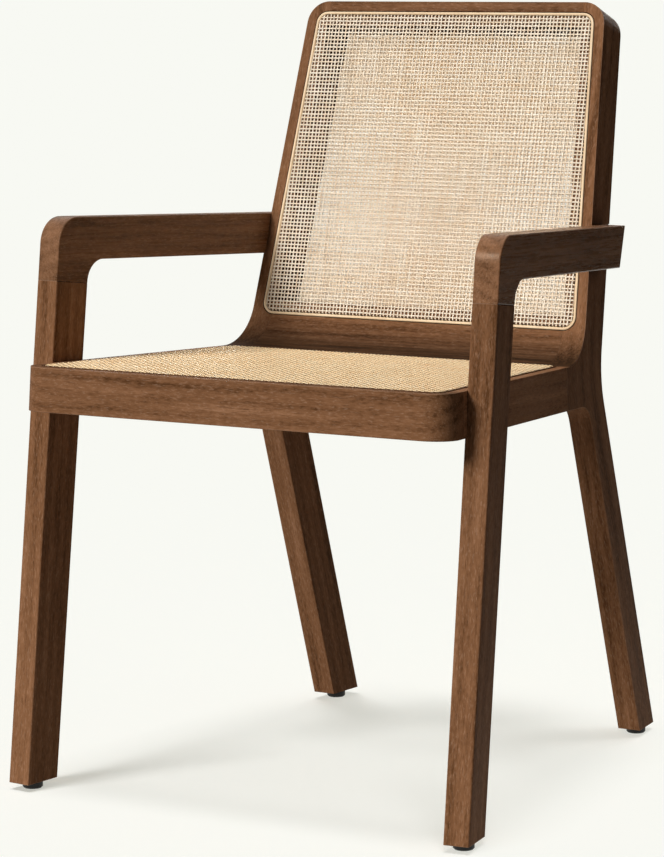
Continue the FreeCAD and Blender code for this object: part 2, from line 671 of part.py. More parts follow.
# Hardware
def leg_bolt_set(label, side, index):
    """One bolt with its washer and insert, and their holes; its axis runs along the side frame's x."""
    shift = (index - 0.5) * 2
    turn = QUARTER * side
    axis = f"{side_frame(side)} * {place(y=f'bolt_y + {shift} * bolt_spacing / 2', z='bolt_z', pitch=turn)}"
    name = f"{label}_leg_bolt_{index}"

    def along(start):
        return f"{axis} * {place(z=start)}"

    under_head = "-bolt_grip - washer_thick"
    shank = cylinder(name + "_shank", "bolt_radius", "bolt_grip + washer_thick + bolt_reach",
                     along(under_head))
    head = cylinder(name + "_head", "bolt_head_radius", "bolt_head_height",
                    along(f"{under_head} - bolt_head_height"))
    socket = doc.addObject("Part::Prism", name + "_socket")
    socket.Polygon = 6
    bind(socket, Circumradius="socket_radius", Height=f"socket_depth + {OVERRUN}",
         Placement=along(f"{under_head} - bolt_head_height - {OVERRUN}"))
    bolt = cut(name, fused(name + "_solid", [shank, head]), [socket])
    disc = cylinder(name + "_disc", "washer_radius", "washer_thick", along(under_head))
    bore = cylinder(name + "_disc_bore", "bolt_radius + hardware_clearance", f"washer_thick + 2 * {OVERRUN}",
                    along(f"{under_head} - {OVERRUN}"))
    washer = cut(name + "_washer", disc, [bore])
    sleeve = cylinder(name + "_sleeve", "insert_radius", "insert_length", along("0"))
    thread = cylinder(name + "_thread", "bolt_radius + hardware_clearance", f"insert_length + 2 * {OVERRUN}",
                      along(f"-{OVERRUN}"))
    insert = cut(name + "_insert", sleeve, [thread])
    rail_hole = cylinder(name + "_rail_hole", "bolt_radius + hardware_clearance", f"bolt_grip + {OVERRUN}",
                         along("-bolt_grip"))
    counterbore = cylinder(name + "_counterbore", "washer_radius + counterbore_play", "post_thick",
                           along("-bolt_grip - post_thick"))
    leg_hole = cylinder(name + "_leg_hole", "insert_radius + hardware_clearance",
                        f"insert_length + {OVERRUN}", along("0"))
    cut_from(f"{label}_side_rail", rail_hole)
    cut_from(f"{label}_side_rail", counterbore)
    cut_from(f"{label}_front_leg", leg_hole)
    return bolt, washer, insert


def corner_block(label, side, end):
    """A block between a side rail and the front or rear rail, with its two screws."""
    node = f"{end}_{label}_corner_block"
    cross = "front_rail_depth" if end == "front" else "rear_rail_front_run"
    way = 1 if end == "front" else -1
    inner = outer_x(seat_point(cross, "block_middle"), "post_thick")
    tip = f"({cross} + {way} * block_reach)"
    past = f"({inner} + post_thick)"
    outline = [
        (past, cross),
        (f"({inner} - block_reach)", cross),
        (f"({inner} - block_reach)", f"{cross} + {way} * block_toe"),
        (f"({inner} - block_heel)", tip),
        (past, tip),
    ]
    corners = [(f"{side} * {x}", y) for x, y in outline]
    blank = outline_body(node + "_blank", "XY_Plane", corners, "block_height",
                         f"{SEAT} * {place(z='block_base')}")
    cut_from(node, beyond_inner[side])
    # one screw runs square into the cross rail, the other into the side rail
    into_cross = place(x=f"{side} * ({inner} - block_reach + screw_inset)", y=f"{cross} + {way} * screw_grip",
                       z="block_middle", roll=QUARTER * way)
    across_y = f"({cross} + {way} * (block_reach - screw_inset))"
    across_x = outer_x(seat_point(across_y, "block_middle"), "post_thick")
    into_side = place(x=f"{side} * ({across_x} - screw_grip)", y=across_y, z="block_middle",
                      pitch=QUARTER * side)
    cross_node = "front_rail" if end == "front" else "rear_rail"
    screws = [
        screw(node + "_cross_screw", f"{SEAT} * {into_cross}", "block_reach", node, cross_node),
        screw(node + "_side_screw", f"{SEAT} * {into_side}", "block_reach", node, f"{label}_side_rail"),
    ]
    return node, blank, screws


# Assemble: blanks first, then everything that is let into them, then the finished pieces
blanks = {}
for label, side in SIDES:
    blanks[f"{label}_front_leg"] = leg_body(label, side)
    blanks[f"{label}_arm"] = arm_body(label, side)
    blanks[f"{label}_back_post"] = rounded_post(label, side, post_body(label, side))
    blanks[f"{label}_side_rail"] = side_rail_body(label, side)
blanks["front_rail"] = front_rail_body()
blanks["rear_rail"] = rear_rail_body()
blanks["back_bottom_rail"] = coved_rail_body()
blanks["back_top_rail"] = crest_body()

below_feet = floor_cut()
for label, side in SIDES:
    ease_faces(blanks[f"{label}_front_leg"], f"{label}_leg_easing", Vector(1, 0, 0), "edge_easing")
    cut_from(f"{label}_front_leg", below_feet)
    # shallow housings bring the rail and the post flush to the inner face of the side frame
    start = "0" if side > 0 else "-frame_thick"
    leg_width = "(leg_foot_depth + seat_front_z * (tan(leg_rear_rake) - tan(leg_rake))) * cos(leg_rake)"
    leg_seat = box(f"{label}_leg_housing", "frame_thick", leg_width, REACH,
                   f"{side_frame(side)} * {place(x=start, y='leg_foot_y', roll='-leg_rake')}")
    cut_from(f"{label}_side_rail", leg_seat)
    under_arm = place(x=start, y="arm_corner_y", z="arm_front_z - arm_depth", roll="-arm_slope")
    arm_seat = box(f"{label}_arm_housing", "frame_thick", REACH, "arm_depth * cos(arm_slope)",
                   f"{side_frame(side)} * {under_arm}")
    cut_from(f"{label}_back_post", arm_seat)
for node in ("rear_rail", "back_bottom_rail", "back_top_rail"):
    for label, side in SIDES:
        cut_from(node, beyond_inner[side])

splines = {}
canes = {}
back_nodes = ("left_back_post", "right_back_post", "back_bottom_rail", "back_top_rail")
seat_nodes = ("front_rail", "left_side_rail", "right_side_rail", "left_back_post", "right_back_post",
              "back_bottom_rail")
for face, prefix, nodes in (("seat", "seat", seat_nodes), ("front", "back_front", back_nodes),
                            ("rear", "back_rear", back_nodes)):
    groove, splines[face], canes[face] = caned(prefix, face)
    for node in nodes:
        cut_from(node, groove)
recess = face_plate("back_rear_recess", "rear", "(-recess_margin)", "0", f"rear_recess + {OVERRUN}")
for node in back_nodes:
    cut_from(node, recess)

dowels = {}
for label, side in SIDES:
    rail_turn = f"{side} * post_plan"
    for index, shift in enumerate((-1, 1)):
        tag = f"{label}_{index}"
        step = f"{shift} * dowel_half"
        seam = (f"{side_frame(side)} * "
                + place(x=f"{side} * frame_thick / 2", y="leg_top_y", z="seam_height", roll="-leg_rake")
                + f" * {place(y=f'seam_length / 2 + {step}')}")
        dowels.setdefault("arm_leg_dowels", []).append(
            dowel(f"arm_leg_{tag}", seam, f"{label}_arm", f"{label}_front_leg"))
        overlap = (f"{side_frame(side)} * " + place(y="arm_joint_y", z="arm_joint_z", roll="-back_lean")
                   + f" * {place(z=step, pitch=QUARTER)}")
        dowels.setdefault("arm_post_dowels", []).append(
            dowel(f"arm_post_{tag}", overlap, f"{label}_arm", f"{label}_back_post"))
        depth = f"rear_face / 2 + {step}"
        for joint, node, run in (("back_top_dowels", "back_top_rail", "back_height - crest_height / 2"),
                                 ("back_bottom_dowels", "back_bottom_rail", "back_sill / 2")):
            x = f"{side} * {outer_x(back_point(depth, run), 'post_thick')}"
            spot = f"{BACK} * {place(x=x, y=depth, z=run, pitch=QUARTER)}"
            dowels.setdefault(joint, []).append(dowel(f"{joint}_{tag}", spot, node, f"{label}_back_post"))
        run = f"(rear_rail_front_run + rear_rail_depth / 2 + {step})"
        drop = "(rear_rail_thick / 2 - rail_height)"
        x = f"{side} * {outer_x(seat_point(run, drop), 'post_thick')}"
        dowels.setdefault("rear_rail_dowels", []).append(
            dowel(f"rear_rail_{tag}", f"{SEAT} * {place(x=x, y=run, z=drop, pitch=QUARTER)}", "rear_rail",
                  f"{label}_back_post"))
        drop = f"({step} - rail_height / 2)"
        for joint, run, other in (("front_rail_dowels", "front_rail_depth", "front_rail"),
                                  ("side_rail_dowels", "post_joint_run", f"{label}_back_post")):
            x = f"{side} * {outer_x(seat_point(run, drop), 'post_thick / 2')}"
            spot = f"{SEAT} * {place(x=x, y=run, z=drop, yaw=rail_turn, roll=-QUARTER)}"
            dowels.setdefault(joint, []).append(dowel(f"{joint}_{tag}", spot, f"{label}_side_rail", other))

bolts, washers, inserts = [], [], []
for label, side in SIDES:
    for index in (0, 1):
        bolt, washer, insert = leg_bolt_set(label, side, index)
        bolts.append(bolt)
        washers.append(washer)
        inserts.append(insert)

block_screws = []
for end in ("front", "rear"):
    for label, side in SIDES:
        node, blank, screws = corner_block(label, side, end)
        blanks[node] = blank
        block_screws.extend(screws)

rear_screws = []
for index in (-1, 0, 1):
    spot = place(x=f"{index} * rear_screw_spacing", y="rear_rail_front_run + rear_rail_depth / 2",
                 z="rear_rail_thick - rail_height - screw_grip")
    rear_screws.append(screw(f"rear_rail_screw_{index + 1}", f"{SEAT} * {spot}", "rear_rail_thick",
                             "rear_rail", "back_bottom_rail"))

for label, side in SIDES:
    for end, foot, leg in (("front", front_foot(side), f"{label}_front_leg"),
                           ("rear", rear_foot(side), f"{label}_back_post")):
        node = f"{end}_{label}_glide"
        pieces.append((node, glide(f"{node}_body", foot, leg)))

for node, blank in blanks.items():
    pieces.append((node, cut(f"{node}_finished", blank, cutters[node])))
for face, prefix in (("seat", "seat"), ("front", "back_front"), ("rear", "back_rear")):
    pieces.append((f"{prefix}_cane", canes[face]))
    pieces.append((f"{prefix}_spline", splines[face]))
for name, items in dowels.items():
    pieces.append((name, group(name + "_group", items)))
pieces.append(("leg_bolts", group("leg_bolts_group", bolts)))
pieces.append(("leg_washers", group("leg_washers_group", washers)))
pieces.append(("leg_inserts", group("leg_inserts_group", inserts)))
pieces.append(("corner_block_screws", group("corner_block_screws_group", block_screws)))
pieces.append(("rear_rail_screws", group("rear_rail_screws_group", rear_screws)))

doc.recompute()
failed = [item.Name for item in doc.Objects if "Invalid" in item.State or "Error" in item.State]
if failed:
    raise RuntimeError(f"objects that failed: {failed}")
for node, item in pieces:
    if item.Shape.isNull() or not item.Shape.isValid() or not item.Shape.Solids:
        raise RuntimeError(f"{node} has no valid shape")

os.makedirs("parts", exist_ok=True)
for node, item in pieces:
    item.Label = node
    item.Shape.exportStep(f"parts/{node}.step")
    print(node, len(item.Shape.Solids), round(item.Shape.Volume / 1000, 2), "cm3")
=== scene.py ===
"""Look of the cane armchair: woven cane, splines, materials, floor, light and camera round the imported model.

The frame is the model's own, in metres: X to the viewer's right, Y to the back, Z up, origin on the floor.
"""
import math
import bpy
import numpy as np
from mathutils import Matrix, Vector


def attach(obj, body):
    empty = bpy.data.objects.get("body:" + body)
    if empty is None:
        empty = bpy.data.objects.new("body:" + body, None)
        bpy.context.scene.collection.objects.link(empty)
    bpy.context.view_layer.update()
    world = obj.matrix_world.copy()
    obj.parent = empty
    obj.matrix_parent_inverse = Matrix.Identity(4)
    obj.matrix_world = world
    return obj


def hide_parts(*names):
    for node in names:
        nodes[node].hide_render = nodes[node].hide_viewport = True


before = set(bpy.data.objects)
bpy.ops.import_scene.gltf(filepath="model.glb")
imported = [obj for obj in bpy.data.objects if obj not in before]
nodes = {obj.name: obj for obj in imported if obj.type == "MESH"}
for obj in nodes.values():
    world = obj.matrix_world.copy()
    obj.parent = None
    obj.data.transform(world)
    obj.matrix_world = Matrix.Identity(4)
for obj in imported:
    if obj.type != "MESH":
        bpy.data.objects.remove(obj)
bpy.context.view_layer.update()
scene = bpy.context.scene
scene.view_settings.view_transform = "Standard"
SEED = 20
random = np.random.default_rng(SEED)

# Sizes repeated from the part, in millimetres and radians; SEAT_FRONT and BACK_FOOT are y and z
MM = 0.001
SEAT_SLOPE = math.radians(1.67)
BACK_LEAN = math.radians(15.1)
REAR_LEG_RAKE = math.radians(20.4)
LEG_RAKE = math.radians(6.6)
ARM_SLOPE = math.radians(2.5)
POST_PLAN = math.radians(5.8)
POST_CANT = math.radians(2.32)
FRAME_PLAN = math.radians(6.79)
POST_HALF = 242.1
SEAT_FRONT = (-306.58, 461.6)
BACK_FOOT = (96.825, 449.839)
REAR_FACE = 45.0
RIM = 11.5
SEAT_GROOVE_REAR = 357.97
BACK_SILL = 35.0
BACK_HEIGHT = 405.15
# corner radii of the grooves, at the low and the high end of the face
SEAT_CORNERS = (16.5, 12.0)
BACK_CORNERS = (15.0, 14.5)
CORNER_STEPS = 10

# Woven cane: distance of the strands, their width and thickness, and how far they wave about the middle of
# the sheet. The rear sheet of the back is woven closer, so little shows through both.
PITCH = 4.4
HALF_PITCH = PITCH / 2
SEAT_WIDTH = 2.0
FINE_WIDTH = 1.75
CLOSE_WIDTH = 3.2
STRAND_THICK = 0.58
SEAT_THICK = 1.0
WAVE = 0.31
SEAT_WAVE = 0.55
SHEET_MIDDLE = 0.5
# where a strand turns down into the groove, how far it goes in, its stations on both sides of the fold, and
# the room kept free of others
FOLD_OFFSET = 4.65
TUCK = 3.0
BEFORE_FOLD = 0.2
AFTER_FOLD = 0.5
FOLD_ROOM = 0.4
# uneven weave: size and length of each sway of a strand, how far it strays, and the range of its width
SWAYS = ((0.12, 23.0), (0.08, 9.0))
STRAY = 0.14
WIDTH_RANGE = (0.9, 1.06)
# UV of strands and splines: its name, its units for a metre of length, and the number of the middle strand
FIBRE_UV = "Fibre"
FIBRE_SCALE = 10
MIDDLE_STRAND = 200


# Caned faces
def outer_x(y, z, inset):
    """Half width of the chair at the outer post plane, less an inset square to that plane."""
    return (POST_HALF - inset / (math.cos(POST_PLAN) * math.cos(POST_CANT)) - math.tan(POST_PLAN) * y
            - math.tan(POST_CANT) / math.cos(POST_PLAN) * z)


def rounded(corners, radii):
    """A closed outline with its corners rounded, as an array of points."""
    points = []
    count = len(corners)
    for index, radius in enumerate(radii):
        corner = Vector(corners[index])
        back = (Vector(corners[index - 1]) - corner).normalized()
        ahead = (Vector(corners[(index + 1) % count]) - corner).normalized()
        half = back.angle(ahead) / 2
        centre = corner + (back + ahead).normalized() * (radius / math.sin(half))
        first = corner + back * (radius / math.tan(half)) - centre
        last = corner + ahead * (radius / math.tan(half)) - centre
        for step in range(CORNER_STEPS + 1):
            arm = first.lerp(last, step / CORNER_STEPS).normalized() * radius
            points.append(centre + arm)
    return np.array(points)


class Panel:
    """One caned face: its outline in x and in runs along the face, where the face lies, and its weave."""

    def __init__(self, origin, along, out, low, high, corners, weave):
        self.origin = origin
        self.along = along
        self.out = out
        self.low = low
        self.high = high
        low_radius, high_radius = corners
        self.radii = (low_radius, low_radius, high_radius, high_radius)
        self.strand_width, self.strand_thick, self.wave = weave

    def half_width(self, run, offset):
        y = self.origin[0] + self.along[0] * run
        z = self.origin[1] + self.along[1] * run
        return outer_x(y, z, RIM + offset)

    def outline(self, offset):
        """The rounded outline, anticlockwise, inside the outer edge of the groove by the offset."""
        low = self.low + offset
        high = self.high - offset
        low_x = self.half_width(low, offset)
        high_x = self.half_width(high, offset)
        corners = [(-low_x, low), (low_x, low), (high_x, high), (-high_x, high)]
        return rounded(corners, [radius - offset for radius in self.radii])

    def place(self, x, run, rise):
        """Points of the model, in metres, from x, run and the height above the face."""
        y = self.origin[0] + self.along[0] * run + self.out[0] * rise
        z = self.origin[1] + self.along[1] * run + self.out[1] * rise
        return np.stack([x, y, z], axis=-1) * MM


def seat_panel():
    along = (math.cos(SEAT_SLOPE), -math.sin(SEAT_SLOPE))
    out = (math.sin(SEAT_SLOPE), math.cos(SEAT_SLOPE))
    weave = (SEAT_WIDTH, SEAT_THICK, SEAT_WAVE)
    return Panel(SEAT_FRONT, along, out, RIM, SEAT_GROOVE_REAR, SEAT_CORNERS, weave)


def back_panel(rear):
    along = (math.sin(BACK_LEAN), math.cos(BACK_LEAN))
    into = (math.cos(BACK_LEAN), -math.sin(BACK_LEAN))
    if rear:
        origin = (BACK_FOOT[0] + into[0] * REAR_FACE, BACK_FOOT[1] + into[1] * REAR_FACE)
        out = into
        width = CLOSE_WIDTH
    else:
        origin = BACK_FOOT
        out = (-into[0], -into[1])
        width = FINE_WIDTH
    weave = (width, STRAND_THICK, WAVE)
    return Panel(origin, along, out, BACK_SILL, BACK_HEIGHT - RIM, BACK_CORNERS, weave)


def fold_down(outline, x, run, rise):
    """Points of a sheet that lie beyond the outline turn down there, as the sheet does in its groove."""
    spots = np.stack([x, run], axis=-1)
    step = np.roll(outline, -1, axis=0) - outline
    length = np.hypot(step[:, 0], step[:, 1])
    inward = np.stack([-step[:, 1], step[:, 0]], axis=-1) / length[:, None]
    depth = np.einsum("nmk,mk->nm", spots[:, None, :] - outline[None], inward)
    beyond = depth.min(axis=1) < 0
    outside = spots[beyond][:, None, :] - outline[None]
    share = np.clip(np.einsum("nmk,mk->nm", outside, step) / length ** 2, 0, 1)
    foot = outline[None] + share[..., None] * step[None]
    reach = np.hypot(*np.moveaxis(spots[beyond][:, None, :] - foot, -1, 0))
    nearest = reach.argmin(axis=1)
    picked = np.arange(len(nearest))
    level = rise[beyond] - SHEET_MIDDLE
    spots[beyond] = foot[picked, nearest] - inward[nearest] * level[:, None]
    rise = rise.copy()
    rise[beyond] = SHEET_MIDDLE - reach[picked, nearest]
    return spots[:, 0], spots[:, 1], rise


def span(outline, axis, value):
    """Where the line with that coordinate enters and leaves the outline, or None."""
    other = 1 - axis
    start = outline
    end = np.roll(outline, -1, axis=0)
    crossed = (start[:, axis] - value) * (end[:, axis] - value) < 0
    if crossed.sum() < 2:
        return None
    share = (value - start[crossed, axis]) / (end[crossed, axis] - start[crossed, axis])
    places = start[crossed, other] + share * (end[crossed, other] - start[crossed, other])
    return places.min(), places.max()


def new_mesh(name, points, faces, uv):
    """An object from arrays of points, quads and one UV pair for each corner of each quad, smooth shaded."""
    mesh = bpy.data.meshes.new(name)
    mesh.from_pydata(points.tolist(), [], faces.tolist())
    layer = mesh.uv_layers.new(name=FIBRE_UV)
    layer.data.foreach_set("uv", uv.reshape(-1).astype(np.float32))
    mesh.polygons.foreach_set("use_smooth", np.ones(len(mesh.polygons), dtype=bool))
    mesh.update()
    item = bpy.data.objects.new(name, mesh)
    scene.collection.objects.link(item)
    return item


# Section of a strand, in parts of its width and thickness: a broad crowned top and a flat belly
SECTION = np.array([(-0.5, 0.0), (-0.3, 0.42), (0.3, 0.42), (0.5, 0.0), (0.0, -0.5)])


def strand_quads(rows):
    """The quads of a strand with so many stations, and the station and the side where each begins."""
    size = len(SECTION)
    row, side = np.meshgrid(np.arange(rows - 1), np.arange(size), indexing="ij")
    row, side = row.ravel(), side.ravel()
    after = (side + 1) % size
    quads = np.stack([row * size + side, (row + 1) * size + side, (row + 1) * size + after,
                      row * size + after], axis=-1)
    return quads, row, side


def strands(panel, name, axis):
    """All strands of one direction of a woven sheet; axis 0 holds x, so they run along the face."""
    fold = panel.outline(FOLD_OFFSET)
    tucked = panel.outline(FOLD_OFFSET - TUCK)
    centre = (0.0, (panel.low + panel.high) / 2)
    middle, cross_middle = centre[axis], centre[1 - axis]
    count = int(np.abs(fold[:, axis] - middle).max() / PITCH)
    weave = 1 if axis == 0 else -1
    points, faces, uvs = [], [], []
    first = 0
    for index in range(-count, count + 1):
        held = middle + index * PITCH
        seen = span(fold, axis, held)
        ends = span(tucked, axis, held)
        if seen is None or ends is None:
            continue
        # stations over and under each crossing, and more at the folds
        low = math.ceil((seen[0] - cross_middle) / HALF_PITCH)
        high = math.floor((seen[1] - cross_middle) / HALF_PITCH)
        stations = cross_middle + np.arange(low, high + 1) * HALF_PITCH
        stations = stations[(stations > seen[0] + FOLD_ROOM) & (stations < seen[1] - FOLD_ROOM)]
        stations = np.concatenate([[ends[0], seen[0] - AFTER_FOLD, seen[0] + BEFORE_FOLD], stations,
                                   [seen[1] - BEFORE_FOLD, seen[1] + AFTER_FOLD, ends[1]]])
        sign = weave * (1 if index % 2 == 0 else -1)
        wave = sign * panel.wave * np.cos(math.pi * ((stations - cross_middle) / PITCH))
        phases = random.uniform(0, math.tau, len(SWAYS))
        drift = sum(size * np.sin(stations / length + phase) for (size, length), phase in zip(SWAYS, phases))
        width = panel.strand_width * random.uniform(*WIDTH_RANGE)
        side = held + random.normal(0, STRAY) + drift[:, None] + SECTION[None, :, 0] * width
        rise = SHEET_MIDDLE + wave[:, None] + SECTION[None, :, 1] * panel.strand_thick
        run = np.repeat(stations[:, None], len(SECTION), axis=1)
        x, y = (side, run) if axis == 0 else (run, side)
        points.append(np.stack([x.ravel(), y.ravel(), rise.ravel()], axis=-1))
        quads, row, begin = strand_quads(len(stations))
        across = np.stack([begin, begin, begin + 1, begin + 1], axis=-1) / len(SECTION)
        length = np.stack([stations[row], stations[row + 1], stations[row + 1], stations[row]], axis=-1)
        if axis:
            quads, across, length = quads[:, ::-1], across[:, ::-1], length[:, ::-1]
        faces.append(first + quads)
        uvs.append(np.stack([length * MM * FIBRE_SCALE, index + MIDDLE_STRAND + across], axis=-1))
        first += len(stations) * len(SECTION)
    points = np.concatenate(points)
    x, run, rise = fold_down(fold, points[:, 0], points[:, 1], points[:, 2])
    return new_mesh(name, panel.place(x, run, rise), np.concatenate(faces), np.concatenate(uvs))


# Section of a spline, as offset from the outer edge of the groove and height above the face, and the number
# of its highest point. A narrow slit stays open outside it.
SPLINE_SECTION = [(0.8, -2.5), (0.8, -0.1), (0.95, 0.36), (1.3, 0.66), (2.1, 0.8), (2.9, 0.72), (3.6, 0.42),
                  (4.05, -0.1), (4.05, -2.5)]
SPLINE_CROWN = 4


def spline(panel, name):
    """A crowned strip pressed into the groove, swept round the outline."""
    rings = [panel.outline(offset) for offset, rise in SPLINE_SECTION]
    count = len(rings[0])
    size = len(rings)
    x = np.array([ring[:, 0] for ring in rings])
    run = np.array([ring[:, 1] for ring in rings])
    rise = np.repeat(np.array([rise for offset, rise in SPLINE_SECTION])[:, None], count, axis=1)
    points = panel.place(x.ravel(), run.ravel(), rise.ravel())
    crown = rings[SPLINE_CROWN]
    path = np.concatenate([crown, crown[:1]])
    travel = np.concatenate([[0], np.cumsum(np.hypot(*np.diff(path, axis=0).T))])
    ring, spot = np.meshgrid(np.arange(size), np.arange(count), indexing="ij")
    ring, spot = ring.ravel(), spot.ravel()
    inner, after = (ring + 1) % size, (spot + 1) % count
    faces = np.stack([ring * count + spot, ring * count + after, inner * count + after, inner * count + spot],
                     axis=-1)
    length = np.stack([travel[spot], travel[spot + 1], travel[spot + 1], travel[spot]], axis=-1)
    across = np.stack([ring, ring, ring + 1, ring + 1], axis=-1) / size
    return new_mesh(name, points, faces, np.stack([length * MM * FIBRE_SCALE, across], axis=-1))


# Materials. A noise is given as its scale for each axis, its detail and its roughness, and a range as from
# low and from high, mostly with to low and to high.
AO_SAMPLES = 8
BEVEL_SAMPLES = 6
NOISE_REACH = (0.3, 0.7)
STREAK_REACH = (0.35, 0.65)


class Finish:
    """A node material with one Principled shader, and short ways to add nodes to it."""

    def __init__(self, name, roughness, specular, metallic=0.0):
        self.material = bpy.data.materials.new(name)
        self.material.use_nodes = True
        self.tree = self.material.node_tree
        self.shader = self.tree.nodes["Principled BSDF"]
        self.shader.inputs["Roughness"].default_value = roughness
        self.shader.inputs["Specular IOR Level"].default_value = specular
        self.shader.inputs["Metallic"].default_value = metallic

    def add(self, kind, inputs=None, **settings):
        node = self.tree.nodes.new(kind)
        for name, value in settings.items():
            setattr(node, name, value)
        for name, value in (inputs or {}).items():
            self.feed(node.inputs[name], value)
        return node

    def feed(self, socket, value):
        if isinstance(value, bpy.types.NodeSocket):
            self.tree.links.new(value, socket)
        else:
            socket.default_value = value

    def set(self, name, value):
        self.feed(self.shader.inputs[name], value)

    def coordinates(self):
        """Object coordinates, which are the model's own."""
        return self.add("ShaderNodeTexCoord").outputs["Object"]

    def split(self, vector):
        return self.add("ShaderNodeSeparateXYZ", {"Vector": vector}).outputs

    def math(self, operation, first, second=0.0, third=0.0):
        return self.add("ShaderNodeMath", {0: first, 1: second, 2: third}, operation=operation).outputs[0]

    def scaled(self, vector, scale):
        return self.add("ShaderNodeVectorMath", {0: vector, 1: scale}, operation="MULTIPLY").outputs[0]

    def noise(self, vector, scale, detail, roughness):
        """Noise with a scale for each axis, from about 0.2 to 0.8."""
        inputs = {"Vector": self.scaled(vector, scale), "Scale": 1.0, "Detail": detail,
                  "Roughness": roughness}
        return self.add("ShaderNodeTexNoise", inputs).outputs["Fac"]

    def remap(self, value, low, high, to_low=0.0, to_high=1.0):
        inputs = {"Value": value, "From Min": low, "From Max": high, "To Min": to_low, "To Max": to_high}
        return self.add("ShaderNodeMapRange", inputs).outputs["Result"]

    def ramp(self, value, stops):
        node = self.add("ShaderNodeValToRGB", {"Fac": value})
        elements = node.color_ramp.elements
        while len(elements) < len(stops):
            elements.new(0.5)
        for element, (position, colour) in zip(elements, stops):
            element.position = position
            element.color = (*colour, 1.0)
        return node.outputs["Color"]

    def mix(self, share, first, second):
        node = self.add("ShaderNodeMix", data_type="RGBA")
        self.feed(node.inputs["Factor"], share)
        for socket, value in zip([s for s in node.inputs if s.type == "RGBA"], (first, second)):
            self.feed(socket, value if isinstance(value, bpy.types.NodeSocket) else (*value, 1.0))
        return [s for s in node.outputs if s.type == "RGBA"][0]

    def open_air(self, distance):
        """1 where a face is open within that distance, down to 0 where it is shut in."""
        inputs = {"Distance": distance}
        return self.add("ShaderNodeAmbientOcclusion", inputs, samples=AO_SAMPLES).outputs["AO"]

    def relief(self, height, distance, strength, normal=None):
        inputs = {"Height": height, "Distance": distance, "Strength": strength}
        if normal:
            inputs["Normal"] = normal
        self.set("Normal", self.add("ShaderNodeBump", inputs).outputs["Normal"])


# Wood
PATCHES = ((4.0, 32.0, 32.0), 3.0, 0.55)
STREAKS = ((10.0, 330.0, 330.0), 4.0, 0.6)
FLECKS = ((120.0, 400.0, 400.0), 2.0, 0.6)
PORES = ((70.0, 1500.0, 1500.0), 2.0, 0.6)
DASHES = ((170.0, 700.0, 700.0), 2.0, 0.6)
# growth rings: where their centre lies, how they stretch along the grain, and their wave texture
PITH = (0.0, 0.065, 0.04)
RING_STRETCH = (0.35, 1.0, 1.0)
RINGS = {"Scale": 24.0, "Distortion": 3.2, "Detail": 2.0, "Detail Scale": 0.9, "Detail Roughness": 0.6}
# what each of them adds to the figure of the wood, and what is taken off
PATCH_PART, STREAK_PART, FLECK_PART, RING_PART, FIGURE_DROP = 0.52, 0.35, 0.40, 0.10, 0.19
PORE_RANGE = (0.57, 0.70)
PORES_SHOWN = (*STREAK_REACH, 0.25, 0.8)
DASHES_SHOWN = (0.54, 0.72, 0.0, 0.26)
# arrises: their rounding, how far a face turns there from square to fully lightened, and the least and most
# lightening, in parts of the piece's own; it is partly rubbing from use and partly a painted highlight
ARRIS = 1.3 * MM
ARRIS_TURN_RANGE = (0.995, 0.86)
LEAST_LIGHTENING, MOST_LIGHTENING = 0.6, 1.4
# painted shade in narrow gaps, and on the back: in the cove above the seat, and behind the cane
GAP_REACH = 5 * MM
GAP_RANGE = (0.15, 0.65, 0.9, 0.0)
COVE_RANGE = (4 * MM, 36 * MM, 0.93, 0.0)
FORWARD_RANGE = (0.04, -0.04)
HIDDEN_REACH = 60 * MM
HIDDEN_RANGE = (0.35, 0.85, 0.98, 0.0)
ABOVE_SEAT = (-6 * MM, -1 * MM)
SHADE_STREAKS_SHOWN = (*STREAK_REACH, 1.0, 0.75)
# the tone of the painted shade
SHADE_TONE = (0.012, 0.006, 0.003)
# roughness: how far it varies about the given one, and what a pore adds; gloss and relief
WOOD_SMOOTHER, WOOD_ROUGHER, PORE_ROUGHER = 0.06, 0.08, 0.12
WOOD_GLOSS = (1.0, 0.76, 0.56, 1.0)
STREAK_RELIEF, WOOD_RELIEF, RELIEF_STRENGTH = 0.5, 0.12 * MM, 0.5
# grain: when it counts as running along x, and how far a post's bend is spread; and where a post's outer edge
# begins and ends
MOSTLY_ALONG_X = 0.7
BEND_SPREAD = 0.06
POST_EDGE = ((POST_HALF - 12) * MM, (POST_HALF - 8) * MM)


def grain_space(finish, grain, shift):
    """Coordinates of a piece of wood with x along its grain; shift sets it in its own part of the log."""
    coordinates = finish.coordinates()
    along = Vector(grain).normalized()
    side = Vector((1, 0, 0)) if abs(along.x) < MOSTLY_ALONG_X else Vector((0, 1, 0))
    third = along.cross(side).normalized()
    side = third.cross(along).normalized()
    turn = Matrix((along, side, third)).to_euler()
    inputs = {"Vector": coordinates, "Rotation": turn, "Location": shift}
    return finish.add("ShaderNodeMapping", inputs).outputs["Vector"]


def bent_grain_space(finish, shift):
    """The same for a post, whose grain follows its bend."""
    place = finish.split(finish.coordinates())
    above = finish.math("SUBTRACT", place["Z"], BACK_FOOT[1] * MM)
    rising = finish.math("MULTIPLY", above, math.tan(BACK_LEAN))
    falling = finish.math("MULTIPLY", above, -math.tan(REAR_LEG_RAKE))
    centre = finish.math("SMOOTH_MAX", rising, falling, BEND_SPREAD)
    across = finish.math("SUBTRACT", place["Y"], centre)
    inputs = {"X": place["Z"], "Y": place["X"], "Z": across}
    straight = finish.add("ShaderNodeCombineXYZ", inputs).outputs["Vector"]
    return finish.add("ShaderNodeMapping", {"Vector": straight, "Location": shift}).outputs["Vector"]


